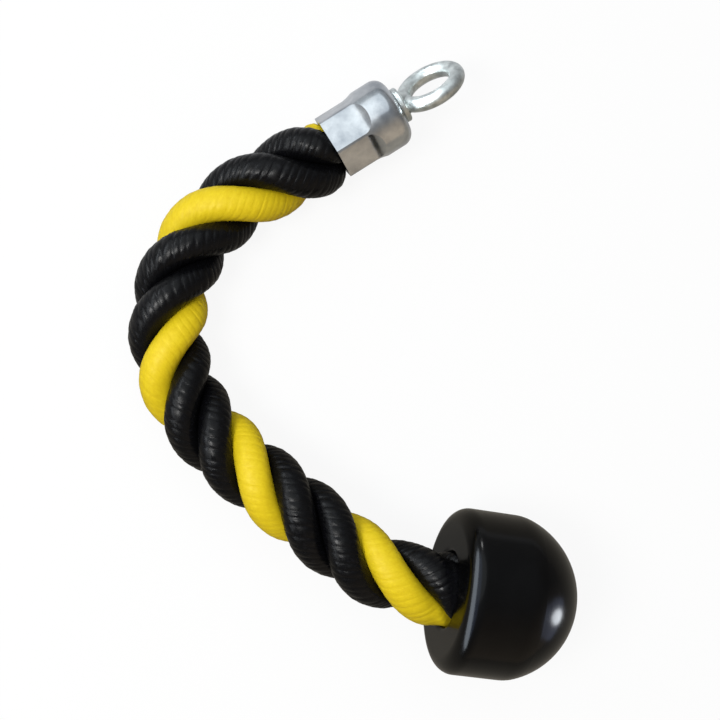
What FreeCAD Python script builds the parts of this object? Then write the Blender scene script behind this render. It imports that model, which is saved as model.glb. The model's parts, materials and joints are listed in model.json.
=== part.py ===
"""Single-ended pull rope for a cable machine.

A laid three-strand rope is crimped into a steel ferrule at one end and held in a moulded grip cap at
the other.  A forged eye turns in the ferrule's end wall, kept there by a washer and a self-locking nut.
Millimetres.  +Z is up from the surface the rope lies on, +Y runs from the grip cap towards the eye.
"""
import FreeCAD, Part
import math
import os
import re

import Sketcher

Vector = FreeCAD.Vector
Rotation = FreeCAD.Rotation

# Driving dimensions, in millimetres and degrees.
SIZES = {
    # rope
    "rope_diameter": 28.0,
    "rope_lead": 14.0,
    "cap_lead": 11.0,
    "tape_thickness": 0.3,
    "tape_width": 6.0,
    # ferrule: a drawn steel cup with a hexagonal crimp at its mouth
    "ferrule_length": 29.4,
    "ferrule_diameter": 28.0,
    "ferrule_wall": 2.2,
    "ferrule_end_wall": 3.2,
    "ferrule_shoulder": 5.0,
    "crimp_length": 11.8,
    "crimp_flats": 24.0,
    "crimp_corner_diameter": 27.2,
    "crimp_wall": 2.0,
    "crimp_blend": 5.0,
    "crimp_die_radius": 9.0,
    "crimp_fit": 0.05,
    # forged eye and what keeps it in the ferrule
    "shank_diameter": 8.0,
    "shank_play": 0.06,
    "shank_tail": 1.0,
    "shank_tip": 0.8,
    "eye_float": 0.2,
    "collar_diameter": 14.4,
    "collar_thickness": 2.6,
    "collar_edge": 0.8,
    "eye_hole": 16.5,
    "eye_wire": 6.1,
    "eye_trim": 0.1,
    "eye_rise": 15.1,
    "neck_foot": 10.4,
    "neck_head": 6.8,
    "web_cover": 1.6,
    "web_thickness": 4.8,
    "web_foot": 10.8,
    "web_head": 15.5,
    "web_hollow": 6.0,
    "washer_diameter": 16.0,
    "washer_thickness": 1.6,
    "washer_bore_play": 0.2,
    "nut_flats": 13.0,
    "nut_height": 8.0,
    "insert_height": 2.4,
    "insert_diameter": 10.6,
    "thread_play": 0.05,
    # grip cap and the ring that holds it on the rope
    "cap_diameter": 63.0,
    "cap_side": 24.0,
    "cap_dome": 27.3,
    "cap_dome_corner": 16.5,
    "cap_face_corner": 6.0,
    "cap_lip": 2.0,
    "cap_fit": 0.2,
    "ring_depth": 12.0,
    "ring_length": 12.0,
    "ring_bore": 26.0,
    "ring_wall": 4.0,
    "ring_edge": 1.0,
    "rope_tail": 7.0,
    "plug_gap": 1.0,
    # how the rope lies: mouth of the ferrule and face of the cap, with their headings and slopes
    "mouth_x": -42.6,
    "mouth_y": 85.0,
    "mouth_z": 16.5,
    "ferrule_heading": 32.4,
    "ferrule_rise": 9.5,
    "ferrule_roll": 14.5,
    "eye_turn": 29.4,
    "face_x": -1.8,
    "face_y": -84.3,
    "face_z": 32.75,
    "cap_heading": -9.5,
    "cap_fall": 3.0,
}

# Points of the rope's centre line between its two straight ends.
BENDS = [
    (-75.0, 67.8, 14.1),
    (-93.3, 52.5, 14.1),
    (-104.3, 32.3, 14.1),
    (-106.7, 9.6, 14.5),
    (-100.2, -12.1, 16.7),
    (-85.7, -30.5, 20.9),
    (-69.2, -45.4, 25.9),
    (-51.8, -59.4, 30.1),
    (-33.3, -75.1, 32.5),
]
ARC_SHARE = 0.45
HEXAGON = 6

os.makedirs("parts", exist_ok=True)
doc = FreeCAD.newDocument("PullRope")
sheet = doc.addObject("Spreadsheet::Sheet", "Sizes")
for row, (alias, value) in enumerate(SIZES.items(), start=1):
    sheet.set("A%d" % row, alias)
    sheet.set("B%d" % row, str(value))
    sheet.setAlias("B%d" % row, alias)
doc.recompute()


def bound(formula):
    """The formula with each size's name turned into a reference to its cell."""
    return re.sub(r"[a-z]\w*", lambda word: "Sizes." + word[0] if word[0] in SIZES else word[0], formula)


def measure(formula):
    """The formula's present value."""
    value = sheet.evalExpression(bound(formula))
    return float(getattr(value, "Value", value))


def plane(body, role):
    """One of the body's own origin planes or axes."""
    return next(item for item in body.Origin.OriginFeatures if item.Role == role)


def new_body(name):
    body = doc.addObject("PartDesign::Body", name)
    body.Label = name
    return body


def outline(body, name, role, corners, arcs=None):
    """A closed sketch through the corners, each corner a pair of formulas.

    arcs gives, for the side that starts at a corner, its radius formula and 1 where the arc turns
    anticlockwise or -1 where it turns clockwise.
    """
    arcs = arcs or {}
    sketch = body.newObject("Sketcher::SketchObject", name)
    sketch.AttachmentSupport = [(plane(body, role), "")]
    sketch.MapMode = "FlatFace"
    places = [Vector(measure(across), measure(along), 0) for across, along in corners]
    count = len(places)
    ends = []
    for index in range(count):
        start = places[index]
        end = places[(index + 1) % count]
        if index not in arcs:
            sketch.addGeometry(Part.LineSegment(start, end), False)
            ends.append((1, 2))
            continue
        radius = measure(arcs[index][0])
        turn = arcs[index][1]
        chord = end - start
        middle = (start + end) * 0.5
        side = Vector(-chord.y, chord.x, 0).normalize() * turn
        centre = middle + side * math.sqrt(max(radius**2 - (chord.Length / 2) ** 2, 0.0))
        crest = centre - side * radius
        # A sketch's arc always runs anticlockwise, so a clockwise side is drawn from its end.
        if turn > 0:
            sketch.addGeometry(Part.Arc(start, crest, end), False)
            ends.append((1, 2))
        else:
            sketch.addGeometry(Part.Arc(end, crest, start), False)
            ends.append((2, 1))
    for index, (across, along) in enumerate(corners):
        before = (index - 1) % count
        first = ends[index][0]
        last = ends[before][1]
        sketch.addConstraint(Sketcher.Constraint("Coincident", before, last, index, first))
        for kind, formula, axis in (("DistanceX", across, -2), ("DistanceY", along, -1)):
            value = measure(formula)
            if abs(value) < 1e-9:
                sketch.addConstraint(Sketcher.Constraint("PointOnObject", index, first, axis))
            else:
                number = sketch.addConstraint(Sketcher.Constraint(kind, -1, 1, index, first, value))
                sketch.setExpression("Constraints[%d]" % number, bound(formula))
    for index, (formula, _) in arcs.items():
        number = sketch.addConstraint(Sketcher.Constraint("Radius", index, measure(formula)))
        sketch.setExpression("Constraints[%d]" % number, bound(formula))
    doc.recompute()
    return sketch


def turned(body, name, sketch, kind="Revolution"):
    """The sketch turned once round the body's Z axis."""
    feature = body.newObject("PartDesign::" + kind, name)
    feature.Profile = sketch
    feature.ReferenceAxis = (sketch, ["V_Axis"])
    feature.Angle = 360.0
    body.Tip = feature
    doc.recompute()
    return feature


def primitive(body, kind, name, role, sizes, offsets):
    """A PartDesign primitive on one of the body's planes, moved in that plane's own axes."""
    feature = body.newObject("PartDesign::" + kind, name)
    feature.AttachmentSupport = [(plane(body, role), "")]
    feature.MapMode = "FlatFace"
    for key, formula in sizes.items():
        feature.setExpression(key, bound(formula))
    for key, formula in offsets.items():
        feature.setExpression("AttachmentOffset.Base." + key, bound(formula))
    body.Tip = feature
    doc.recompute()
    return feature


def cuts(body, feature_before):
    """Stops the build if the last feature took nothing away."""
    if body.Shape.Volume >= feature_before - 1e-3:
        raise RuntimeError(body.Label + ": a cut missed the solid")


def rounded(corners_and_arcs):
    """Splits a list of corners, some followed by an arc, into outline's two arguments."""
    corners = []
    arcs = {}
    for item in corners_and_arcs:
        corners.append(item[:2])
        if len(item) > 2:
            arcs[len(corners) - 1] = item[2:]
    return corners, arcs


# ---------------------------------------------------------------------------- ferrule
def make_ferrule():
    """A turned cup whose mouth is pressed to a hexagon.  Its own Z runs from the mouth to the eye."""
    body = new_body("ferrule")
    pilot = "(crimp_flats - 2 * crimp_wall) * 0.47"
    chamber = "ferrule_diameter / 2 - ferrule_wall"
    hole = "shank_diameter / 2 + shank_play"
    floor = "ferrule_length - ferrule_end_wall"
    blend = "crimp_length + crimp_blend"
    corners, arcs = rounded([
        (pilot, "0"),
        ("crimp_corner_diameter / 2", "0"),
        ("crimp_corner_diameter / 2", "crimp_length"),
        ("ferrule_diameter / 2", blend),
        ("ferrule_diameter / 2", "ferrule_length - ferrule_shoulder", "ferrule_shoulder", 1),
        ("ferrule_diameter / 2 - ferrule_shoulder", "ferrule_length"),
        (hole, "ferrule_length"),
        (hole, floor),
        (chamber, floor),
        (chamber, blend),
        (pilot, "crimp_length"),
    ])
    turned(body, "Cup", outline(body, "CupSection", "XZ_Plane", corners, arcs))
    before = body.Shape.Volume
    socket_sizes = {"Circumradius": "(crimp_flats - 2 * crimp_wall) / sqrt(3)", "Height": blend}
    primitive(body, "SubtractivePrism", "CrimpedSocket", "XY_Plane", socket_sizes, {})
    cuts(body, before)

    corners, arcs = rounded([
        ("crimp_flats / 2", "0 - crimp_length"),
        ("ferrule_diameter", "0 - crimp_length"),
        ("ferrule_diameter", "crimp_length + crimp_die_radius"),
        ("crimp_flats / 2 + crimp_die_radius", "crimp_length + crimp_die_radius", "crimp_die_radius", 1),
        ("crimp_flats / 2", "crimp_length"),
    ])
    press = outline(body, "DieSection", "YZ_Plane", corners, arcs)
    before = body.Shape.Volume
    flat = body.newObject("PartDesign::Pocket", "CrimpFlat")
    flat.Profile = press
    flat.Midplane = True
    flat.setExpression("Length", bound("2 * ferrule_diameter"))
    body.Tip = flat
    doc.recompute()
    cuts(body, before)
    flats = body.newObject("PartDesign::PolarPattern", "CrimpFlats")
    flats.Originals = [flat]
    flats.Axis = (plane(body, "Z_Axis"), [""])
    flats.Angle = 360.0
    flats.Occurrences = HEXAGON
    body.Tip = flats
    doc.recompute()
    return body


# ---------------------------------------------------------------------------- swivel eye
WASHER_TOP = "0 - ferrule_end_wall - eye_float"
NUT_TOP = WASHER_TOP + " - washer_thickness"
NUT_FOOT = NUT_TOP + " - nut_height"
SHANK_END = NUT_FOOT + " - shank_tail"


def make_eye():
    """A forged eye bolt.  Its own Z is the shank's axis, with zero at the ferrule's end face."""
    body = new_body("swivel_eye")
    collar_top = "eye_float + collar_thickness"
    web_top = "eye_rise - eye_hole / 2 - web_cover"
    corners, arcs = rounded([
        ("0", SHANK_END),
        ("shank_diameter / 2 - shank_tip", SHANK_END),
        ("shank_diameter / 2", SHANK_END + " + shank_tip"),
        ("shank_diameter / 2", "eye_float"),
        ("collar_diameter / 2 - collar_edge", "eye_float", "collar_edge", 1),
        ("collar_diameter / 2", "eye_float + collar_edge"),
        ("collar_diameter / 2", collar_top + " - collar_edge", "collar_edge", 1),
        ("collar_diameter / 2 - collar_edge", collar_top),
        ("neck_foot / 2", collar_top),
        ("neck_head / 2", web_top),
        ("0", web_top),
    ])
    turned(body, "ShankAndCollar", outline(body, "ShankSection", "XZ_Plane", corners, arcs))

    corners, arcs = rounded([
        ("0 - web_foot / 2", collar_top),
        ("web_foot / 2", collar_top, "web_hollow", -1),
        ("web_head / 2", web_top),
        ("0 - web_head / 2", web_top, "web_hollow", -1),
    ])
    web = body.newObject("PartDesign::Pad", "Web")
    web.Profile = outline(body, "WebSection", "XZ_Plane", corners, arcs)
    web.Midplane = True
    web.setExpression("Length", bound("web_thickness"))
    body.Tip = web
    doc.recompute()

    ring_sizes = {"Radius1": "eye_hole / 2 - eye_trim + eye_wire / 2", "Radius2": "eye_wire / 2"}
    primitive(body, "AdditiveTorus", "Ring", "XZ_Plane", ring_sizes, {"y": "eye_rise"})
    before = body.Shape.Volume
    trim_sizes = {"Radius": "eye_hole / 2", "Height": "2 * eye_wire"}
    primitive(body, "SubtractiveCylinder", "TrimmedHole", "XZ_Plane", trim_sizes,
              {"y": "eye_rise", "z": "0 - eye_wire"})
    cuts(body, before)
    return body


def make_washer():
    """A plain washer under the ferrule's end wall."""
    body = new_body("thrust_washer")
    corners = [
        ("shank_diameter / 2 + washer_bore_play", NUT_TOP),
        ("washer_diameter / 2", NUT_TOP),
        ("washer_diameter / 2", WASHER_TOP),
        ("shank_diameter / 2 + washer_bore_play", WASHER_TOP),
    ]
    turned(body, "Disc", outline(body, "DiscSection", "XZ_Plane", corners))
    return body


def make_nut():
    """A self-locking nut: a chamfered hexagon with a recess for its nylon insert at the free end."""
    body = new_body("lock_nut")
    hexagon_sizes = {"Circumradius": "nut_flats / sqrt(3)", "Height": "nut_height"}
    primitive(body, "AdditivePrism", "Hexagon", "XY_Plane", hexagon_sizes, {"z": NUT_FOOT})
    corners = [
        ("nut_flats / 2", NUT_TOP),
        ("nut_flats", NUT_TOP),
        ("nut_flats", NUT_TOP + " - nut_flats / 2 * tan(30)"),
    ]
    before = body.Shape.Volume
    turned(body, "Chamfer", outline(body, "ChamferSection", "XZ_Plane", corners), "Groove")
    cuts(body, before)
    before = body.Shape.Volume
    bore_sizes = {"Radius": "shank_diameter / 2 + thread_play", "Height": "2 * nut_height"}
    primitive(body, "SubtractiveCylinder", "Thread", "XY_Plane", bore_sizes,
              {"z": NUT_FOOT + " - nut_height / 2"})
    cuts(body, before)
    before = body.Shape.Volume
    recess_sizes = {"Radius": "insert_diameter / 2 + thread_play", "Height": "insert_height"}
    primitive(body, "SubtractiveCylinder", "InsertRecess", "XY_Plane", recess_sizes, {"z": NUT_FOOT})
    cuts(body, before)
    return body


def make_insert():
    """The nylon ring in the nut."""
    body = new_body("nut_insert")
    corners = [
        ("shank_diameter / 2 + thread_play", NUT_FOOT),
        ("insert_diameter / 2", NUT_FOOT),
        ("insert_diameter / 2", NUT_FOOT + " + insert_height"),
        ("shank_diameter / 2 + thread_play", NUT_FOOT + " + insert_height"),
    ]
    turned(body, "Insert", outline(body, "InsertSection", "XZ_Plane", corners))
    return body


# ---------------------------------------------------------------------------- grip cap
RING_END = "ring_depth + ring_length"
TAIL_END = RING_END + " + rope_tail"
CAP_LENGTH = "cap_side + cap_dome"


def make_cap():
    """A moulded cap: flat face, short straight side and a dome.  Its own Z runs from face to dome."""
    body = new_body("grip_cap")
    inset = "(cap_diameter / 2 - cap_dome_corner)"
    squares = "(" + inset + " ^ 2 + cap_dome ^ 2 - cap_dome_corner ^ 2)"
    crown = "(" + squares + " / (2 * (cap_dome - cap_dome_corner)))"
    share = "(" + crown + " / (" + crown + " - cap_dome_corner))"
    hole = "rope_diameter / 2 + cap_fit"
    chamber = "ring_bore / 2 + ring_wall + cap_fit"
    tail = "ring_bore / 2 + tape_thickness + cap_fit"
    corners, arcs = rounded([
        (hole + " + cap_lip", "0"),
        ("cap_diameter / 2 - cap_face_corner", "0", "cap_face_corner", 1),
        ("cap_diameter / 2", "cap_face_corner"),
        ("cap_diameter / 2", "cap_side", "cap_dome_corner", 1),
        (inset + " * " + share, CAP_LENGTH + " - " + crown + " + (" + crown + " - cap_dome) * " + share,
         crown, 1),
        ("0", CAP_LENGTH),
        ("0", TAIL_END + " + cap_fit"),
        (tail, TAIL_END + " + cap_fit"),
        (tail, RING_END + " + cap_fit"),
        (chamber, RING_END + " + cap_fit"),
        (chamber, "ring_depth - cap_fit"),
        (hole, "ring_depth - cap_fit"),
        (hole, "cap_lip", "cap_lip", 1),
    ])
    turned(body, "Moulding", outline(body, "MouldingSection", "XZ_Plane", corners, arcs))
    return body


def make_ring():
    """The steel ring pressed on the rope, which the cap is moulded round."""
    body = new_body("cap_crimp_ring")
    outer = "ring_bore / 2 + ring_wall"
    corners = [
        ("ring_bore / 2", "ring_depth"),
        (outer + " - ring_edge", "ring_depth"),
        (outer, "ring_depth + ring_edge"),
        (outer, RING_END + " - ring_edge"),
        (outer + " - ring_edge", RING_END),
        ("ring_bore / 2", RING_END),
    ]
    turned(body, "Ring", outline(body, "RingSection", "XZ_Plane", corners))
    return body


def make_cap_tape():
    """Tape round the rope's cut end inside the cap."""
    body = new_body("cap_end_tape")
    corners = [
        ("ring_bore / 2", TAIL_END + " - tape_width"),
        ("ring_bore / 2 + tape_thickness", TAIL_END + " - tape_width"),
        ("ring_bore / 2 + tape_thickness", TAIL_END),
        ("ring_bore / 2", TAIL_END),
    ]
    turned(body, "Tape", outline(body, "TapeSection", "XZ_Plane", corners))
    return body


# ---------------------------------------------------------------------------- rope
PLUG_FLATS = "(crimp_flats - 2 * crimp_wall - 2 * crimp_fit)"
PLUG_END = "ferrule_length + (" + SHANK_END + ") - plug_gap"
TAPE_FOOT = PLUG_END + " - tape_width"
TAPED_FLATS = "(" + PLUG_FLATS + " - 2 * tape_thickness)"


def make_ferrule_tape():
    """Tape round the rope's other cut end, pressed to a hexagon with it in the crimp."""
    body = new_body("ferrule_end_tape")
    sleeve_sizes = {"Circumradius": PLUG_FLATS + " / sqrt(3)", "Height": "tape_width"}
    primitive(body, "AdditivePrism", "Sleeve", "XY_Plane", sleeve_sizes, {"z": TAPE_FOOT})
    before = body.Shape.Volume
    inside_sizes = {"Circumradius": TAPED_FLATS + " / sqrt(3)", "Height": "2 * tape_width"}
    primitive(body, "SubtractivePrism", "Inside", "XY_Plane", inside_sizes,
              {"z": TAPE_FOOT + " - tape_width / 2"})
    cuts(body, before)
    return body


def prism(flats, foot, head):
    """An upright hexagonal prism with a corner on the X axis."""
    radius = flats / math.sqrt(3)
    steps = [2 * math.pi * index / HEXAGON for index in range(HEXAGON)]
    ring = [Vector(radius * math.cos(step), radius * math.sin(step), foot) for step in steps]
    return Part.Face(Part.makePolygon(ring + ring[:1])).extrude(Vector(0, 0, head - foot))


def rope_route(ferrule_place, cap_place):
    """The centre line's points, straight out of the ferrule and straight into the cap."""
    mouth = ferrule_place.Base
    face = cap_place.Base
    out_of_ferrule = ferrule_place.Rotation.multVec(Vector(0, 0, -measure("rope_lead")))
    out_of_cap = cap_place.Rotation.multVec(Vector(0, 0, -measure("cap_lead")))
    return [mouth, mouth + out_of_ferrule] + [Vector(*point) for point in BENDS] + [face + out_of_cap, face]


def rope_path(route):
    """Straight runs joined by tangent arcs, and the radius of each arc."""
    edges = []
    radii = []
    start = route[0]
    for before, corner, after in zip(route, route[1:], route[2:]):
        arriving = corner - before
        leaving = after - corner
        reach = ARC_SHARE * min(arriving.Length, leaving.Length)
        half_turn = arriving.getAngle(leaving) / 2
        radius = reach / math.tan(half_turn)
        arc_start = corner - arriving.normalize() * reach
        arc_end = corner + leaving.normalize() * reach
        inward = (leaving - arriving).normalize()
        middle = corner + inward * (radius / math.cos(half_turn) - radius)
        edges.append(Part.LineSegment(start, arc_start).toShape())
        edges.append(Part.Arc(arc_start, middle, arc_end).toShape())
        radii.append(radius)
        start = arc_end
    edges.append(Part.LineSegment(start, route[-1]).toShape())
    return Part.Wire(edges), radii


def make_rope(ferrule_place, cap_place):
    """The rope as one plain solid: its free length, the crimped plug and the end in the cap."""
    radius = measure("rope_diameter / 2")
    route = rope_route(ferrule_place, cap_place)
    path, radii = rope_path(route)
    first_run = route[1] - route[0]
    section = Part.Wire([Part.makeCircle(radius, route[0], first_run)])
    tube = path.makePipeShell([section], True, False)
    expected = math.pi * radius**2 * path.Length
    if abs(tube.Volume - expected) > 0.01 * expected:
        raise RuntimeError("the rope's volume doesn't match its section and length")
    print("rope centre line %.1f mm, radii" % path.Length, [round(value) for value in radii])

    plug = prism(measure(PLUG_FLATS), 0, measure(TAPE_FOOT))
    plug = plug.fuse(prism(measure(TAPED_FLATS), measure(TAPE_FOOT), measure(PLUG_END)))
    plug.Placement = ferrule_place
    ring_depth = measure("ring_depth")
    neck_radius = measure("ring_bore / 2 - crimp_fit")
    tail = Part.makeCylinder(radius, ring_depth)
    tail = tail.fuse(Part.makeCylinder(neck_radius, measure(TAIL_END) - ring_depth, Vector(0, 0, ring_depth)))
    tail.Placement = cap_place

    rope = doc.addObject("Part::Feature", "rope")
    rope.Label = "rope"
    rope.Shape = tube.fuse([plug, tail]).removeSplitter()
    return rope


# ---------------------------------------------------------------------------- assembly
def lying(prefix_x, prefix_y, prefix_z, heading, rise, roll):
    """A placement whose Z axis has this heading and rise, turned about itself by roll."""
    place = Vector(measure(prefix_x), measure(prefix_y), measure(prefix_z))
    tilt = Rotation(Vector(0, 0, 1), heading) * Rotation(Vector(0, 1, 0), 90 - rise)
    return FreeCAD.Placement(place, tilt * Rotation(Vector(0, 0, 1), roll))


ferrule_aim = ("mouth_x", "mouth_y", "mouth_z", measure("ferrule_heading"), measure("ferrule_rise"))
ferrule_place = lying(*ferrule_aim, measure("ferrule_roll"))
cap_place = lying("face_x", "face_y", "face_z", measure("cap_heading"), -measure("cap_fall"), 0)
end_face = FreeCAD.Placement(Vector(0, 0, measure("ferrule_length")), Rotation())
eye_place = lying(*ferrule_aim, measure("eye_turn")) * end_face

parts = []
for maker, place in (
    (make_ferrule, ferrule_place),
    (make_ferrule_tape, ferrule_place),
    (make_eye, eye_place),
    (make_washer, eye_place),
    (make_nut, eye_place),
    (make_insert, eye_place),
    (make_cap, cap_place),
    (make_ring, cap_place),
    (make_cap_tape, cap_place),
):
    part = maker()
    part.Placement = place
    parts.append(part)
parts.append(make_rope(ferrule_place, cap_place))
doc.recompute()

for item in doc.Objects:
    if "Invalid" in item.State or "Error" in item.State:
        raise RuntimeError(item.Label + " failed to build: " + ", ".join(item.State))
for part in parts:
    if part.Shape.isNull() or not part.Shape.isValid():
        raise RuntimeError(part.Label + " has no valid shape")
    part.Shape.exportStep("parts/" + part.Label + ".step")
    box = part.Shape.BoundBox
    print("%-18s %2d solid, %8.1f mm3, x %.1f..%.1f, y %.1f..%.1f, z %.1f..%.1f" % (
        part.Label, len(part.Shape.Solids), part.Shape.Volume,
        box.XMin, box.XMax, box.YMin, box.YMax, box.ZMin, box.ZMax))
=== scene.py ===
# %% [markdown]
# # Dressing a pull rope
# The object is a short three-strand rope for a cable machine. One end is crimped into a plated steel
# ferrule with a swivel eye, and a moulded cap closes the other end. The CAD model already holds the
# true sizes, so this script loads it as a fixed frame and adds only what CAD leaves plain: the laid
# strands of the rope, the finishes, the light and the camera.

# %% Load the CAD model as the frame
import bpy
import json
import math
import numpy as np
from mathutils import Matrix, Vector

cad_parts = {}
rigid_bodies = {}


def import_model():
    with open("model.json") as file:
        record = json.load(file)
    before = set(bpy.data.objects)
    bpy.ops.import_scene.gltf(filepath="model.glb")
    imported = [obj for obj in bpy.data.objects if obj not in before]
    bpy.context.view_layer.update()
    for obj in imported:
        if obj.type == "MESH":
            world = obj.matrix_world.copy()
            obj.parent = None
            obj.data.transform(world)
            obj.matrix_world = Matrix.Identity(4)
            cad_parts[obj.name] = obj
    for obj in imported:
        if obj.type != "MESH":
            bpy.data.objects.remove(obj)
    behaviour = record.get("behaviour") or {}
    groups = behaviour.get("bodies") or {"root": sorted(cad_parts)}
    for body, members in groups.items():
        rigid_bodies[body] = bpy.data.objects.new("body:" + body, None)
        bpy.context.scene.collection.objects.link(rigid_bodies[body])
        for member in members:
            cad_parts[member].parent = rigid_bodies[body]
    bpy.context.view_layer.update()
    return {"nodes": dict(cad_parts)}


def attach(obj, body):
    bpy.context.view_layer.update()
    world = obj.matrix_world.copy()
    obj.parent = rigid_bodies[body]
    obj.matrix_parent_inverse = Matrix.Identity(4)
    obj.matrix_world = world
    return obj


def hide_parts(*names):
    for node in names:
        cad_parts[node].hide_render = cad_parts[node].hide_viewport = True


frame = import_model()
MM = 0.001
print("CAD nodes:", sorted(frame["nodes"]))

# %% [markdown]
# ## The camera
# The rope lies on the floor and is seen almost straight from above, leaning ten degrees to the left.
# A camera matrix can be written from three directions: right, up and backward. That is exact, where
# turning angles by hand is guesswork.

# %% Camera
LEAN = math.radians(10)
TARGET = Vector((-31.4, 2.7, 14.0)) * MM
DISTANCE = 508 * MM
SENSOR_WIDTH = 36
LENS = 65
backward = Vector((-math.sin(LEAN), 0, math.cos(LEAN)))
right = Vector((math.cos(LEAN), 0, math.sin(LEAN)))
upward = Vector((0, 1, 0))
camera_data = bpy.data.cameras.new("camera")
camera_data.sensor_width = SENSOR_WIDTH
camera_data.lens = LENS
camera = bpy.data.objects.new("camera", camera_data)
bpy.context.scene.collection.objects.link(camera)
turn = Matrix((right, upward, backward)).transposed().to_4x4()
camera.matrix_world = Matrix.Translation(TARGET + DISTANCE * backward) @ turn
bpy.context.scene.camera = camera
print("camera at", [round(c, 3) for c in camera.matrix_world.translation])

# %% [markdown]
# ## The rope's centre line
# A rope is a fixed length of something flexible, so its line comes before its surface. The points
# below are the corners of a NURBS spline: straight out of the ferrule, down to the floor, round the
# bend, and up to the middle of the cap. Blender works out the smooth curve, and the script reads the
# evaluated points back, because every strand has to follow them. The strands reach a little way into
# the ferrule and into the cap, so that no end shows at a mouth.

# %% Route and smooth centre line
ROUTE = [
    (-42.6, 85.0, 16.5),
    (-54.26, 77.6, 15.1),
    (-75.0, 67.8, 15.4),
    (-93.3, 52.5, 15.4),
    (-104.3, 32.3, 15.4),
    (-106.7, 9.6, 15.5),
    (-100.2, -12.1, 17.1),
    (-85.7, -30.5, 20.9),
    (-68.8, -44.7, 25.9),
    (-51.4, -58.7, 30.1),
    (-33.0, -74.4, 32.5),
    (-12.63, -82.49, 33.33),
    (-1.8, -84.3, 32.75),
]
CURVE_STEPS = 24
INTO_FERRULE = 3.0 * MM
INTO_CAP = 5.0 * MM


def smooth_line(points):
    """The evaluated points of a NURBS spline that has these control points."""
    curve = bpy.data.curves.new("centre_line", "CURVE")
    curve.dimensions = "3D"
    curve.resolution_u = CURVE_STEPS
    spline = curve.splines.new("NURBS")
    spline.points.add(len(points) - 1)
    for control, place in zip(spline.points, points):
        control.co = (*(Vector(place) * MM), 1)
    spline.order_u = 3
    spline.use_endpoint_u = True
    holder = bpy.data.objects.new("centre_line", curve)
    bpy.context.scene.collection.objects.link(holder)
    mesh = bpy.data.meshes.new_from_object(holder)
    line = [vertex.co.copy() for vertex in mesh.vertices]
    bpy.data.objects.remove(holder)
    bpy.data.meshes.remove(mesh)
    return line


free_line = smooth_line(ROUTE)
ferrule_way = (free_line[0] - free_line[1]).normalized()
cap_way = (free_line[-1] - free_line[-2]).normalized()
in_ferrule = free_line[0] + ferrule_way * INTO_FERRULE
in_cap = free_line[-1] + cap_way * INTO_CAP
whole_line = [in_ferrule] + free_line + [in_cap]

# %% [markdown]
# Each cross-section of the rope needs its own directions: along the rope, up, and sideways. Up is the
# part of the world's Z that is square to the rope, which never fails here because no stretch of the
# rope stands upright.

# %% Directions along the rope
line = np.array(whole_line)
steps = np.linalg.norm(np.diff(line, axis=0), axis=1)
station = np.concatenate([[0], np.cumsum(steps)]) - INTO_FERRULE
first_place, last_place = station[0], station[-1]
along = np.gradient(line, station, axis=0)
along /= np.linalg.norm(along, axis=1)[:, None]


def at(places, table):
    """The rows of a table, read at these distances from the ferrule's mouth."""
    return np.stack([np.interp(places, station, column) for column in table.T], axis=-1)


def directions(places):
    """Centre, up and sideways directions at these distances from the ferrule's mouth."""
    forward = at(places, along)
    forward /= np.linalg.norm(forward, axis=-1)[..., None]
    up = np.array([0.0, 0.0, 1.0]) - forward[..., 2:] * forward
    up /= np.linalg.norm(up, axis=-1)[..., None]
    return at(places, line), up, np.cross(forward, up)


print("stations:", len(station), "whole length %.1f mm" % ((last_place - first_place) / MM))

# %% [markdown]
# ## Three laid strands
# The rope is right-hand laid: three strands, two black and one yellow, turn round each other once in
# about sixty millimetres. A real rope's lay is never quite even, so a smooth curve is laid through
# the places where the yellow strand comes up on top. Seen in a cross-section each strand is a rounded
# wedge, because it is pressed flat against its neighbours: an oval, cut off where it would cross the
# planes between it and them, less a hair's breadth that keeps the strands apart.

# %% Lay and section of a strand
LAY_KEYS = [(0.0, -0.672), (47.8, 0.0), (106.2, 1.0), (169.2, 2.0), (231.6, 3.0)]
LAY_DEGREE = 3
STRANDS = 3
STRAND_CENTRE = 7.8 * MM
STRAND_DEPTH = 6.95 * MM
STRAND_WIDTH = 8.4 * MM
HALF_WEDGE = math.radians(60)
WEDGE_SHARE = 0.985
lay_curve = np.polyfit(*np.array(LAY_KEYS).T, LAY_DEGREE)


def section_point(turn_angle, relief):
    """Outward and sideways place of a strand's surface, for an angle round the strand."""
    outward = STRAND_CENTRE + (STRAND_DEPTH + relief) * np.cos(turn_angle)
    sideways = (STRAND_WIDTH + relief) * np.sin(turn_angle)
    limit = math.tan(HALF_WEDGE) * np.maximum(outward, 0) * WEDGE_SHARE
    return outward, np.clip(sideways, -limit, limit)


print("rope measures %.1f mm over the strands" % (2 * (STRAND_CENTRE + STRAND_DEPTH) / MM))

# %% [markdown]
# A crimp squeezes the strands at the ferrule, so the section shrinks there and swells just outside
# it. Further on the rope is a little slacker or tighter from place to place. A short list of places
# and sizes holds this, and a moving average rounds its corners off.

# %% Swelling along the rope
SWELLING = [(-3.0, 0.62), (-0.7, 0.63), (1.0, 0.84), (4.0, 0.97), (10.0, 1.04), (20.0, 1.03),
            (30.0, 0.99), (110.0, 1.0), (165.0, 0.97), (235.0, 0.96), (247.0, 1.0), (260.0, 1.0)]
SWELLING_STEP = 0.25
AVERAGED = 9
swelling_place, swelling_size = np.array(SWELLING).T
smooth_place = np.arange(swelling_place[0], swelling_place[-1] + 2 * SWELLING_STEP, SWELLING_STEP)
smooth_size = np.interp(smooth_place, swelling_place, swelling_size)
weights = np.hanning(AVERAGED) / np.hanning(AVERAGED).sum()
smooth_size = np.convolve(np.pad(smooth_size, AVERAGED // 2, mode="edge"), weights, mode="valid")
print("swelling: %.2f to %.2f" % (smooth_size.min(), smooth_size.max()))

# %% [markdown]
# The moulded cap grips the rope in a round hole. The strands can't leave gaps there, so the section is
# pressed into a full circle over the last millimetres. Only the outside moves: the heart of the rope
# stays as it is.

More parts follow.
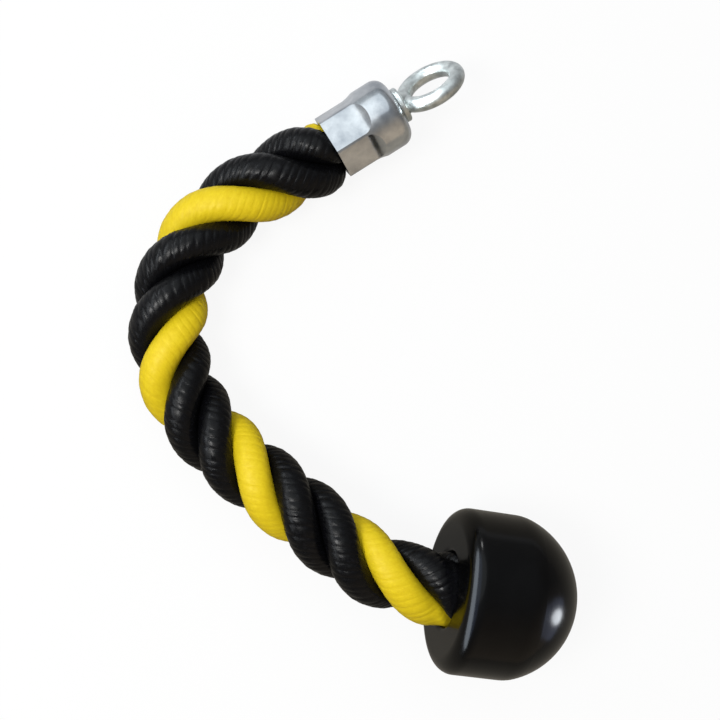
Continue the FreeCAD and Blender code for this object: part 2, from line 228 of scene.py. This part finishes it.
# %% Strands squeezed round in the cap
PRESSED_RADIUS = 13.95 * MM
PRESSED_FROM, PRESSED_TO = 247.0 * MM, 254.0 * MM
OUTSIDE = 12 * MM
HEART = 1 * MM


def pressed_round(outward, sideways, place):
    """The section where the cap's hole squeezes the strands into a full circle."""
    share = np.clip((place - PRESSED_FROM) / (PRESSED_TO - PRESSED_FROM), 0, 1)
    share = share * share * (3 - 2 * share)
    reach = np.hypot(outward, sideways)
    outer = np.clip(reach / OUTSIDE, 0, 1) ** 4
    scale = 1 + share * outer * (PRESSED_RADIUS / np.maximum(reach, HEART) - 1)
    return outward * scale, sideways * scale


print("pressed round from %.0f to %.0f mm" % (PRESSED_FROM / MM, PRESSED_TO / MM))

# %% [markdown]
# ## Yarns
# Every strand is twisted from thick yarns that run back against the lay, and their rounded backs give
# the rope its grain. The mesh can carry them without millions of faces if its rows follow the yarns:
# each row is a helix on the strand, seven rows make one yarn, and few columns are needed along it.
# After one turn round the strand a row meets the row that lies a whole set of yarns further on, which
# closes the skin without a seam.

# %% Rows that follow the yarns
YARNS = 13
YARN_TURN = 24.0 * MM
ROWS_PER_YARN = 7
COLUMNS = 24
rows_per_turn = YARNS * ROWS_PER_YARN
turns_of_yarn = int((last_place - first_place) / YARN_TURN) + 3
yarn_count = turns_of_yarn * YARNS
row_count = turns_of_yarn * rows_per_turn
angle = -math.pi + 2 * math.pi * np.arange(COLUMNS)[None, :] / COLUMNS


def yarn_rows(widths):
    """Each row's place along the rope, the yarn it is on and its share of the way across that yarn."""
    edges = np.concatenate([[0], np.cumsum(widths)]) / widths.sum()
    part = np.arange(ROWS_PER_YARN) / ROWS_PER_YARN
    one_turn = (edges[:-1, None] + np.diff(edges)[:, None] * part).ravel()
    row_place = (np.arange(turns_of_yarn)[:, None] + one_turn).ravel()[:, None] * YARN_TURN
    yarn_index = np.repeat(np.arange(yarn_count), ROWS_PER_YARN)[:, None]
    return row_place, yarn_index, np.tile(part, yarn_count)[:, None]


print("each strand:", row_count, "rows of", COLUMNS, "points")

# %% [markdown]
# No two yarns are equally thick, and each one swells and thins as it goes, so that the rope doesn't
# look like a ribbed hose. The relief is left out on the inside of the rope, where nobody sees it, and
# fades out at both ends, so that these can be closed.

# %% Uneven yarns
THINNEST, THICKEST = 0.55, 1.45
YARN_RELIEF = 0.56 * MM
WIDTH_SHARE = 0.7
LEAST_RELIEF, WAVERING = 0.15, 1.5
WAVER_LENGTH = 2.2 * MM
YARN_RADIUS = 8 * MM
ROUNDNESS, MEAN_HEIGHT = 0.96, 0.6
SHOWN_TO, SHOWN_OVER = math.radians(125), math.radians(30)
FADE = 0.5 * MM


def drifting(chance, places, spacing):
    """A smooth random value along a length, between 0 and 1."""
    knots = chance.uniform(0, 1, int(np.max(places) / spacing) + 3)
    return np.interp(places / spacing, np.arange(len(knots)), knots)


def yarn_relief(chance, widths, place, yarn_index, across, strength):
    """How far each point of a strand stands out from its plain section."""
    thickness = np.tile(widths, turns_of_yarn)[yarn_index] * WIDTH_SHARE
    round_strand = (angle[0] + math.pi) * YARN_RADIUS
    waver = np.stack([drifting(chance, round_strand, WAVER_LENGTH)
                      for _ in range(yarn_count)])[yarn_index[:, 0]]
    shown = np.clip((SHOWN_TO - np.abs(angle)) / SHOWN_OVER, 0, 1)
    back = np.sqrt(1 - ROUNDNESS * (2 * across - 1) ** 2) - MEAN_HEIGHT
    from_end = np.minimum(place - first_place, last_place - place)
    relief = strength * YARN_RELIEF * thickness * (LEAST_RELIEF + WAVERING * waver) * shown * back
    return relief * np.clip(from_end / FADE, 0, 1)


print("yarns stand out up to %.2f mm" % (YARN_RELIEF * THICKEST * WIDTH_SHARE / MM))

# %% [markdown]
# A strand's surface puts these together: the rows give the place along the rope and the columns the
# angle round the strand, the section with its relief gives the distances from the rope's middle, and
# the lay turns that section as it goes. Every point also gets two pattern coordinates, one along its
# yarn and one that counts yarns, for the fibres of the finish.

# %% Surface of one strand
PATTERN_PER_TURN = 29
PATTERN_JUMP = 7.3


def laid_points(start_angle, place, outward, sideways):
    """Points on the laid rope, for places along it and distances on a strand's own section."""
    size = np.interp(place / MM, smooth_place, smooth_size)
    centre, up, side = directions(place)
    turned = start_angle + 2 * math.pi * np.polyval(lay_curve, place / MM)
    radial = np.cos(turned)[..., None] * up + np.sin(turned)[..., None] * side
    tangential = -np.sin(turned)[..., None] * up + np.cos(turned)[..., None] * side
    outward, sideways = (size * outward)[..., None], (size * sideways)[..., None]
    return centre + outward * radial + sideways * tangential


def strand_surface(start_angle, seed, strength):
    """Points and pattern coordinates of one strand, with its rows along its yarns."""
    chance = np.random.default_rng(seed)
    widths = chance.uniform(THINNEST, THICKEST, YARNS)
    row_place, yarn_index, across = yarn_rows(widths)
    place = first_place - YARN_TURN + row_place - angle / (2 * math.pi) * YARN_TURN
    place = np.clip(place, first_place, last_place)
    relief = yarn_relief(chance, widths, place, yarn_index, across, strength)
    outward, sideways = pressed_round(*section_point(angle, relief), place)
    along_yarn = angle / (2 * math.pi) * PATTERN_PER_TURN + PATTERN_JUMP * yarn_index
    pattern = np.stack(np.broadcast_arrays(along_yarn, yarn_index + across), axis=-1)
    return laid_points(start_angle, place, outward, sideways), pattern


print("one turn round a strand takes %.0f mm of rope" % (YARN_TURN / MM))

# %% [markdown]
# The faces join neighbouring rows and columns. Only the last column needs care: its neighbours are the
# points of the first column a whole set of yarns lower, because the rows climb like a screw thread.

# %% Faces between the rows
def strand_faces():
    """Quads between neighbouring rows; the last column joins the first one a set of yarns lower."""
    faces = []
    for row in range(row_count - 1):
        for column in range(COLUMNS - 1):
            corner = row * COLUMNS + column
            faces.append((corner, corner + 1, corner + COLUMNS + 1, corner + COLUMNS))
        if row >= rows_per_turn:
            corner = row * COLUMNS + COLUMNS - 1
            first = (row - rows_per_turn) * COLUMNS
            faces.append((corner, first, first + COLUMNS, corner + COLUMNS))
    return np.array(faces)


quads = strand_faces()
print("quads in a strand:", len(quads))

# %% [markdown]
# The three strands become one piece, as nobody can take a laid rope apart. The yellow strand is the
# smoother one, so its yarns get half the relief. Its faces use the second material of the piece.

# %% Three strands as one mesh
STRENGTHS = (0.5, 1.0, 1.0)
BLACK_SLOT, YELLOW_SLOT = 0, 1
skins = [strand_surface(2 * math.pi * index / STRANDS, index + 1, STRENGTHS[index])
         for index in range(STRANDS)]
all_points = np.concatenate([skin[0].reshape(-1, 3) for skin in skins])
all_pattern = np.concatenate([skin[1].reshape(-1, 2) for skin in skins])
all_quads = np.concatenate([quads + index * row_count * COLUMNS for index in range(STRANDS)])
mesh = bpy.data.meshes.new("rope_strands")
mesh.from_pydata(all_points.tolist(), [], all_quads.tolist())
yarn_map = mesh.uv_layers.new(name="yarn")
corners = np.zeros(len(mesh.loops), int)
mesh.loops.foreach_get("vertex_index", corners)
yarn_map.data.foreach_set("uv", all_pattern[corners].astype(np.float32).ravel())
slots = np.repeat([YELLOW_SLOT, BLACK_SLOT, BLACK_SLOT], len(quads))
mesh.polygons.foreach_set("material_index", slots)
strands = bpy.data.objects.new("rope_strands", mesh)
bpy.context.scene.collection.objects.link(strands)
print("before merging:", len(mesh.vertices), "points")

# %% [markdown]
# The rows that would run past an end are pulled back onto it, and as the relief has faded out there,
# they all fall on one ring. Merging by distance drops the faces that lose their area, and filling the
# holes closes the ring. An operator acts on all that is selected, so everything else is deselected
# first.

# %% Close the ends of the strands
MERGE_WITHIN = 0.002 * MM


def only(piece):
    """Make one piece the active and only selected one."""
    for item in bpy.context.view_layer.objects:
        item.select_set(False)
    piece.select_set(True)
    bpy.context.view_layer.objects.active = piece


only(strands)
bpy.ops.object.mode_set(mode="EDIT")
bpy.ops.mesh.select_all(action="SELECT")
bpy.ops.mesh.remove_doubles(threshold=MERGE_WITHIN)
bpy.ops.mesh.fill_holes(sides=0)
bpy.ops.mesh.select_all(action="SELECT")
bpy.ops.mesh.normals_make_consistent(inside=False)
bpy.ops.object.mode_set(mode="OBJECT")
bpy.ops.object.shade_smooth()
print("strands:", len(strands.data.polygons), "faces")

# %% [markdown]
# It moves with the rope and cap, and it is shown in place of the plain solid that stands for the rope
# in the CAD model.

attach(strands, "rope_and_cap")
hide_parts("rope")

# %% [markdown]
# ## Materials
# Each finish is a small node tree. The first helper makes one with its Principled shader, and the
# second adds a node with its settings in one line, which keeps the trees below short.

# %% Helpers for finishes
def finish(name, **sockets):
    """A new material, its node tree and its Principled shader, with plain socket values set."""
    material = bpy.data.materials.new(name)
    material.use_nodes = True
    shader = material.node_tree.nodes["Principled BSDF"]
    for socket, value in sockets.items():
        shader.inputs[socket.replace("_", " ")].default_value = value
    return material, material.node_tree, shader


def node(tree, kind, **settings):
    """Add a node. A setting that the node has no property for is the value of an input socket."""
    made = tree.nodes.new(kind)
    for name, value in settings.items():
        if hasattr(made, name):
            setattr(made, name, value)
        else:
            made.inputs[name.replace("_", " ")].default_value = value
    return made


print("helpers: finish and node")

# %% [markdown]
# Three things come back in nearly every finish: a height that tilts the light on the surface without
# moving it, a value that picks a colour between stops, and a value that sets the gloss.

# %% Helpers for relief, colour and gloss
def bump(tree, shader, height, strength, distance):
    """Feed a height into the shader's normal."""
    made = node(tree, "ShaderNodeBump", Strength=strength, Distance=distance)
    tree.links.new(height, made.inputs["Height"])
    tree.links.new(made.outputs["Normal"], shader.inputs["Normal"])


def ramp(tree, source, stops):
    """A colour ramp over a value, with stops of a position and a colour each."""
    made = node(tree, "ShaderNodeValToRGB")
    elements = made.color_ramp.elements
    while len(elements) < len(stops):
        elements.new(0.5)
    for element, (position, colour) in zip(elements, stops):
        element.position = position
        element.color = (*colour, 1)
    tree.links.new(source, made.inputs["Fac"])
    return made.outputs["Color"]


def roughness_from(tree, shader, source, between, roughness):
    """Roughness that goes from one value to another while the source crosses a range."""
    made = node(tree, "ShaderNodeMapRange", From_Min=between[0], From_Max=between[1],
                To_Min=roughness[0], To_Max=roughness[1])
    tree.links.new(source, made.inputs["Value"])
    tree.links.new(made.outputs["Result"], shader.inputs["Roughness"])


print("helpers: bump, ramp and roughness_from")

# %% [markdown]
# ## Yarn
# Filament yarn is smooth and slightly shiny along its length. Hair strands could be used, but noise is
# far lighter: stretched along the yarns it gives the filaments, and a slower noise makes some
# stretches shinier and paler than others, which breaks the highlights up into short strokes. The
# colour from both noises is partly a tone that differs at random and partly painted light: painted
# shade where the filaments are low, and a painted sheen on the paler, shinier stretches. The
# pattern coordinates count yarns one way and run along the yarn the other way, so the noise follows
# every bend of the rope.

# %% Filament yarn
FIBRE_STRETCH = (0.8, 6.0, 1.0)
PATCH_STRETCH = (0.55, 1.6, 1.0)
FIBRE_HEIGHT = 0.12 * MM


def stretched_noise(tree, uv, stretch, detail, roughness):
    """Noise on the yarns' own coordinates, stretched along them."""
    mapping = node(tree, "ShaderNodeMapping", Scale=stretch)
    noise = node(tree, "ShaderNodeTexNoise", Scale=1.0, Detail=detail, Roughness=roughness)
    tree.links.new(uv.outputs["UV"], mapping.inputs["Vector"])
    tree.links.new(mapping.outputs["Vector"], noise.inputs["Vector"])
    return noise.outputs["Fac"]


def yarn_finish(name, painted_hollow_shade, plain, painted_sheen, roughness, specular):
    """Twisted filament yarn: fine filaments with shinier and duller stretches, coloured with painted
    shade in the filaments' hollows and a painted sheen on the shinier stretches.
    """
    material, tree, shader = finish(name, Specular_IOR_Level=specular)
    uv = node(tree, "ShaderNodeUVMap", uv_map="yarn")
    fibres = stretched_noise(tree, uv, FIBRE_STRETCH, 4.0, 0.65)
    patches = stretched_noise(tree, uv, PATCH_STRETCH, 2.0, 0.5)
    both = node(tree, "ShaderNodeMath", operation="MULTIPLY")
    tree.links.new(fibres, both.inputs[0])
    tree.links.new(patches, both.inputs[1])
    # Painted light in the colour: darker where the filaments are low, as painted shade, and paler on
    # the shinier stretches, as a painted sheen.
    colour = ramp(tree, both.outputs["Value"], [(0.14, painted_hollow_shade), (0.27, plain), (0.42, painted_sheen)])
    tree.links.new(colour, shader.inputs["Base Color"])
    roughness_from(tree, shader, patches, (0.35, 0.65), (roughness[1], roughness[0]))
    bump(tree, shader, fibres, 0.3, FIBRE_HEIGHT)
    return material


# In each yarn below, the first colour is painted shade in the hollows and the third is a painted
# sheen.
black_yarn = yarn_finish("black_yarn", (0.0015, 0.0015, 0.002), (0.002, 0.002, 0.0025),
                         (0.006, 0.006, 0.008), (0.17, 0.44), 0.18)
yellow_yarn = yarn_finish("yellow_yarn", (0.74, 0.53, 0.008), (0.78, 0.58, 0.012),
                          (0.82, 0.62, 0.016), (0.42, 0.6), 0.22)
for material in (black_yarn, yellow_yarn):
    strands.data.materials.append(material)
print("yarns:", black_yarn.name, yellow_yarn.name)

# %% [markdown]
# ## Metal
# The ferrule is bright plate over pressed steel, and the eye is rougher zinc over a forging. An image
# of scratched metal could be wrapped round them, but noise in object coordinates needs no unwrapping
# and has no edge: a slow noise clouds the colour and the gloss, as plating does, and a fine one gives
# the grain of the steel beneath.

# %% Plated metal
def metal_finish(name, dark, light, roughness, clouding, grain, depth):
    """Plated metal with faint clouding and a fine grain."""
    material, tree, shader = finish(name, Metallic=1.0)
    place = node(tree, "ShaderNodeTexCoord").outputs["Object"]
    clouds = node(tree, "ShaderNodeTexNoise", Scale=clouding, Detail=4.0, Roughness=0.55)
    fine = node(tree, "ShaderNodeTexNoise", Scale=grain, Detail=3.0)
    tree.links.new(place, clouds.inputs["Vector"])
    tree.links.new(place, fine.inputs["Vector"])
    colour = ramp(tree, clouds.outputs["Fac"], [(0.3, dark), (0.7, light)])
    tree.links.new(colour, shader.inputs["Base Color"])
    roughness_from(tree, shader, clouds.outputs["Fac"], (0.3, 0.7), roughness)
    bump(tree, shader, fine.outputs["Fac"], 0.4, depth)
    return material


def dress(names, material):
    """Give CAD nodes a finish in their own material slots."""
    for name in names:
        body = frame["nodes"][name]
        body.data.materials.clear()
        body.data.materials.append(material)
        print(name, "->", material.name)


ferrule_plate = metal_finish("ferrule_plate", (0.40, 0.43, 0.47), (0.84, 0.87, 0.89),
                             (0.16, 0.26), 90.0, 260.0, 0.06 * MM)
eye_zinc = metal_finish("eye_zinc", (0.46, 0.50, 0.50), (0.90, 0.95, 0.94),
                        (0.32, 0.46), 240.0, 420.0, 0.2 * MM)
dress(["ferrule"], ferrule_plate)
dress(["swivel_eye"], eye_zinc)

# %% [markdown]
# Three metal pieces are hidden inside: the washer and the nut that hold the eye, and the steel ring
# that is pressed on the rope's end in the cap. They are finished all the same, because whoever turns
# the eye or opens the part up will see them.

# %% Hidden metal pieces
fastener_zinc = metal_finish("fastener_zinc", (0.50, 0.50, 0.48), (0.66, 0.66, 0.64),
                             (0.3, 0.4), 90.0, 500.0, 0.05 * MM)
ring_steel = metal_finish("ring_steel", (0.36, 0.36, 0.36), (0.5, 0.5, 0.5),
                          (0.35, 0.5), 90.0, 500.0, 0.08 * MM)
dress(["thrust_washer", "lock_nut"], fastener_zinc)
dress(["cap_crimp_ring"], ring_steel)

# %% [markdown]
# ## Plastic
# The cap is a glossy black moulding that shows every lamp, with the slight waviness of a thick wall
# that shrank as it cooled. The nut's nylon ring and the tapes round the rope's ends are duller. One
# recipe makes all three, as only colour, gloss and unevenness differ.

# %% Moulding, nylon and tape
def plain_finish(name, dark, light, roughness, scale, depth, specular=0.5):
    """Moulded or wound plastic with a soft unevenness."""
    material, tree, shader = finish(name, Roughness=roughness, Specular_IOR_Level=specular)
    place = node(tree, "ShaderNodeTexCoord")
    uneven = node(tree, "ShaderNodeTexNoise", Scale=scale, Detail=3.0)
    tree.links.new(place.outputs["Object"], uneven.inputs["Vector"])
    colour = ramp(tree, uneven.outputs["Fac"], [(0.35, dark), (0.65, light)])
    tree.links.new(colour, shader.inputs["Base Color"])
    bump(tree, shader, uneven.outputs["Fac"], 0.3, depth)
    return material


cap_moulding = plain_finish("cap_moulding", (0.001, 0.001, 0.0012), (0.002, 0.002, 0.0022),
                            0.18, 120.0, 0.03 * MM, specular=0.2)
insert_nylon = plain_finish("insert_nylon", (0.55, 0.55, 0.5), (0.68, 0.68, 0.62),
                            0.4, 300.0, 0.03 * MM)
rope_tape = plain_finish("rope_tape", (0.62, 0.6, 0.52), (0.72, 0.7, 0.6),
                         0.6, 400.0, 0.05 * MM)
dress(["grip_cap"], cap_moulding)
dress(["nut_insert"], insert_nylon)
dress(["ferrule_end_tape", "cap_end_tape"], rope_tape)

# %% [markdown]
# ## Floor
# The floor is a plain sheet. The camera sees it almost white, with the rope's soft shadow on it, while
# shiny pieces see a darker sheet, as they would on a small table in a dim room. Light Path tells these
# looks apart: each kind of look sees its own share of a white glow, and the rest is paint.

# %% Floor sheet and how much of it glows
CAMERA_SHARE = 0.9
GLOSSY_SHARE = 0.12


def share_of(tree, looks, kind, share):
    """A share for one kind of look, and nothing for all others."""
    made = node(tree, "ShaderNodeMath", operation="MULTIPLY")
    made.inputs[1].default_value = share
    tree.links.new(looks.outputs[kind], made.inputs[0])
    return made.outputs["Value"]


def larger_of(tree, first, second):
    """The larger of two values."""
    made = node(tree, "ShaderNodeMath", operation="MAXIMUM")
    tree.links.new(first, made.inputs[0])
    tree.links.new(second, made.inputs[1])
    return made.outputs["Value"]


bpy.ops.mesh.primitive_plane_add(size=6, location=(0, 0, 0))
floor = bpy.context.object
floor.name = "floor"
floor_paint, floor_tree, floor_shader = finish("floor_paint", Roughness=0.8)
floor.data.materials.append(floor_paint)
looks = node(floor_tree, "ShaderNodeLightPath")
mirrored = share_of(floor_tree, looks, "Is Glossy Ray", GLOSSY_SHARE)
pale_share = larger_of(floor_tree, share_of(floor_tree, looks, "Is Camera Ray", CAMERA_SHARE),
                       larger_of(floor_tree, looks.outputs["Is Transmission Ray"], mirrored))
glow = node(floor_tree, "ShaderNodeEmission", Color=(1, 1, 1, 1), Strength=1.0)
blend = node(floor_tree, "ShaderNodeMixShader")
floor_tree.links.new(pale_share, blend.inputs["Fac"])
floor_tree.links.new(floor_shader.outputs["BSDF"], blend.inputs[1])
floor_tree.links.new(glow.outputs["Emission"], blend.inputs[2])
surface = floor_tree.nodes["Material Output"].inputs["Surface"]
floor_tree.links.new(blend.outputs["Shader"], surface)
print("floor sheet:", floor.name)

# %% [markdown]
# The paint is nearly white for the camera. For reflections and stray light it runs across the floor,
# brownish on the right and paler towards the window, because an evenly lit floor would leave the
# ferrule's underside flat and grey. The brown hue is the floor's own colour, but the run from dark
# brown on the right to the paler colour towards the window is painted window light falling off.

# %% Floor paint, with painted window light
COLOUR_A, COLOUR_B, COLOUR_OUT = 6, 7, 2      # a Mix node's colour sockets, after its other kinds
TOWARDS_WINDOW = (-2.0, 4.0, 0.0)
# The floor's own brown, painted paler towards the window as painted window light.
BROWNISH, PALE_WINDOW_LIGHT, WHITE_PAINT = (0.21, 0.18, 0.13), (0.55, 0.55, 0.57), (0.9, 0.9, 0.9, 1)
place = node(floor_tree, "ShaderNodeTexCoord")
to_window = node(floor_tree, "ShaderNodeVectorMath", operation="DOT_PRODUCT")
to_window.inputs[1].default_value = TOWARDS_WINDOW
floor_tree.links.new(place.outputs["Object"], to_window.inputs[0])
# Painted window light: the ramp makes the floor paint paler towards the window and darker away from
# it.
tint_and_window_light = ramp(floor_tree, to_window.outputs["Value"], [(0.25, BROWNISH), (0.55, PALE_WINDOW_LIGHT)])
paint = node(floor_tree, "ShaderNodeMix", data_type="RGBA")
paint.inputs[COLOUR_B].default_value = WHITE_PAINT
floor_tree.links.new(looks.outputs["Is Camera Ray"], paint.inputs["Factor"])
floor_tree.links.new(tint_and_window_light, paint.inputs[COLOUR_A])
floor_tree.links.new(paint.outputs[COLOUR_OUT], floor_shader.inputs["Base Color"])
print("floor paint:", floor_paint.name)

# %% [markdown]
# ## Lamps
# An area lamp spreads its energy over its size, so a large one looks dim and a small one glaring at
# the same energy. This helper works the energy out from the brightness that the lamp should show,
# which keeps lamps of all sizes comparable. A lamp is placed by the way that it is seen from the
# middle of the rope: azimuth, elevation and distance.

# %% A lamp placed by its direction
MIDDLE = Vector((-0.03, 0.0, 0.02))


def softbox(name, azimuth, elevation, distance, width, height, radiance, colour):
    """An oval lamp that looks at the middle of the rope, with its brightness given as radiance."""
    light = bpy.data.lights.new(name, "AREA")
    light.shape = "ELLIPSE"
    light.size = width
    light.size_y = height
    light.energy = radiance * math.pi * width * height
    light.color = colour
    a, e = math.radians(azimuth), math.radians(elevation)
    way = Vector((math.cos(a) * math.cos(e), math.sin(a) * math.cos(e), math.sin(e)))
    lamp = bpy.data.objects.new(name, light)
    lamp.location = MIDDLE + way * distance
    lamp.rotation_euler = (-way).to_track_quat("-Z", "Y").to_euler()
    bpy.context.scene.collection.objects.link(lamp)
    return lamp


def group_of(name, nodes):
    """A group of pieces that light linking can name."""
    group = bpy.data.collections.new(name)
    for piece in nodes:
        group.objects.link(piece)
    return group


print("lamps look at", [round(c, 3) for c in MIDDLE])

# %% [markdown]
# A wide window and a smaller, brighter lamp stand at the upper left, and a soft fill hangs overhead.
# The fill is left out of reflections, as a polariser would do, so that the black moulding stays black.
# The bright lamp leaves the cap out, on which it would show as a spot.

# %% Window, key and fill
COOL_WHITE, WARM_WHITE, PLAIN_WHITE = (0.92, 0.97, 1.0), (1.0, 0.99, 0.97), (1.0, 1.0, 1.0)
cap = frame["nodes"]["grip_cap"]
window = softbox("window", 128, 52, 0.9, 1.2, 1.15, 0.5, COOL_WHITE)
key = softbox("key", 188, 57, 0.9, 0.36, 0.36, 11.0, WARM_WHITE)
fill = softbox("fill", 100, 80, 1.3, 1.5, 1.5, 0.5, PLAIN_WHITE)
fill.visible_glossy = False
not_cap = group_of("not_cap", [cap])
not_cap.collection_objects[0].light_linking.link_state = "EXCLUDE"
key.light_linking.receiver_collection = not_cap
print("lamps:", window.name, key.name, fill.name)

# %% [markdown]
# The highlights of a shiny product are shaped with white cards. The cards here only show as
# reflections, and light linking keeps each one to the pieces that it is meant for: the streak along
# the cap's rim and the cap's spots, the sheen of the eye, and the short strokes of light on the yarns.
# A bright card in front of a dim, wider one gives a highlight with a soft edge.

# %% Reflection cards
def card(group, *settings):
    """A lamp that is only a reflection in one group of pieces: it lights nothing else."""
    lamp = softbox(*settings)
    lamp.visible_diffuse = False
    lamp.light_linking.receiver_collection = group
    print("card:", lamp.name, "for", group.name)


eye_pieces = [frame["nodes"][name] for name in ("swivel_eye", "thrust_washer", "lock_nut")]
cap_only = group_of("cap_only", [cap])
eye_only = group_of("eye_only", eye_pieces)
rope_only = group_of("rope_only", [strands])
card(eye_only, "eye_card", 180, 22, 0.8, 2.4, 0.6, 4.5, COOL_WHITE)
card(rope_only, "rope_card", 176, 30, 0.8, 1.6, 0.2, 3.2, (0.9, 0.95, 1.0))
card(cap_only, "left_card", 180, 20, 0.8, 2.4, 0.48, 6.5, (0.80, 0.90, 1.0))
card(cap_only, "left_glow", 172, 40, 0.82, 2.0, 0.7, 0.9, (0.45, 0.6, 1.0))
card(cap_only, "low_card", -24, 7, 0.8, 0.17, 0.25, 17.0, (0.90, 0.95, 1.0))
card(cap_only, "low_glow", -26, 9, 0.82, 0.5, 0.6, 1.0, (0.5, 0.62, 1.0))
card(cap_only, "small_card", 96, 16, 0.8, 0.12, 0.12, 12.0, PLAIN_WHITE)

# %% [markdown]
# ## Surroundings
# The world is a room: lighter and cooler on the side of the window, dim overhead and behind, and warm
# and low on the right. Walls could be modelled, but the metal only needs their colours, and these can
# be read from the direction alone.

# %% A room without walls
WINDOW_WAY, WARM_WAY = (-0.43, 0.55, 0.6), (0.57, -0.82, 0.05)
world = bpy.data.worlds.new("surroundings")
bpy.context.scene.world = world
world.use_nodes = True
sky = world.node_tree
ways = node(sky, "ShaderNodeTexCoord")


def glow_towards(direction, stops):
    """A colour that depends on how nearly a way points along this direction."""
    lean = node(sky, "ShaderNodeVectorMath", operation="DOT_PRODUCT")
    lean.inputs[1].default_value = Vector(direction).normalized()
    sky.links.new(ways.outputs["Generated"], lean.inputs[0])
    return ramp(sky, lean.outputs["Value"], stops)


window_side = glow_towards(WINDOW_WAY, [(0.0, (0.14, 0.135, 0.13)), (0.35, (0.22, 0.22, 0.22)),
                                        (0.7, (0.32, 0.34, 0.36)), (1.0, (0.50, 0.55, 0.58))])
warm_side = glow_towards(WARM_WAY, [(0.4, (0.0, 0.0, 0.0)), (0.9, (0.30, 0.225, 0.14))])
room = node(sky, "ShaderNodeMix", data_type="RGBA", blend_type="ADD")
room.inputs["Factor"].default_value = 1.0
sky.links.new(window_side, room.inputs[COLOUR_A])
sky.links.new(warm_side, room.inputs[COLOUR_B])
print("room:", world.name)

# %% [markdown]
# Looked at straight, past the edge of the floor, the room is as pale as the floor is, and reflections
# see a trace of that paleness. The Standard view transform keeps the pale floor and the yellow as
# bright as they are, where a film-like one would grey them.

# %% Pale background
ROOM_GLOSSY_SHARE = 0.06
BACKGROUND = (0.97, 0.97, 0.97, 1)
sky_looks = node(sky, "ShaderNodeLightPath")
straight = larger_of(sky, sky_looks.outputs["Is Camera Ray"],
                     sky_looks.outputs["Is Transmission Ray"])
faint = share_of(sky, sky_looks, "Is Glossy Ray", ROOM_GLOSSY_SHARE)
behind = node(sky, "ShaderNodeMix", data_type="RGBA")
behind.inputs[COLOUR_B].default_value = BACKGROUND
sky.links.new(larger_of(sky, straight, faint), behind.inputs["Factor"])
sky.links.new(room.outputs[COLOUR_OUT], behind.inputs[COLOUR_A])
sky.links.new(behind.outputs[COLOUR_OUT], sky.nodes["Background"].inputs["Color"])
bpy.context.scene.view_settings.view_transform = "Standard"
print("background:", BACKGROUND[:3])

# %% [markdown]
# ## Last step

# %% Finish
print("finished")
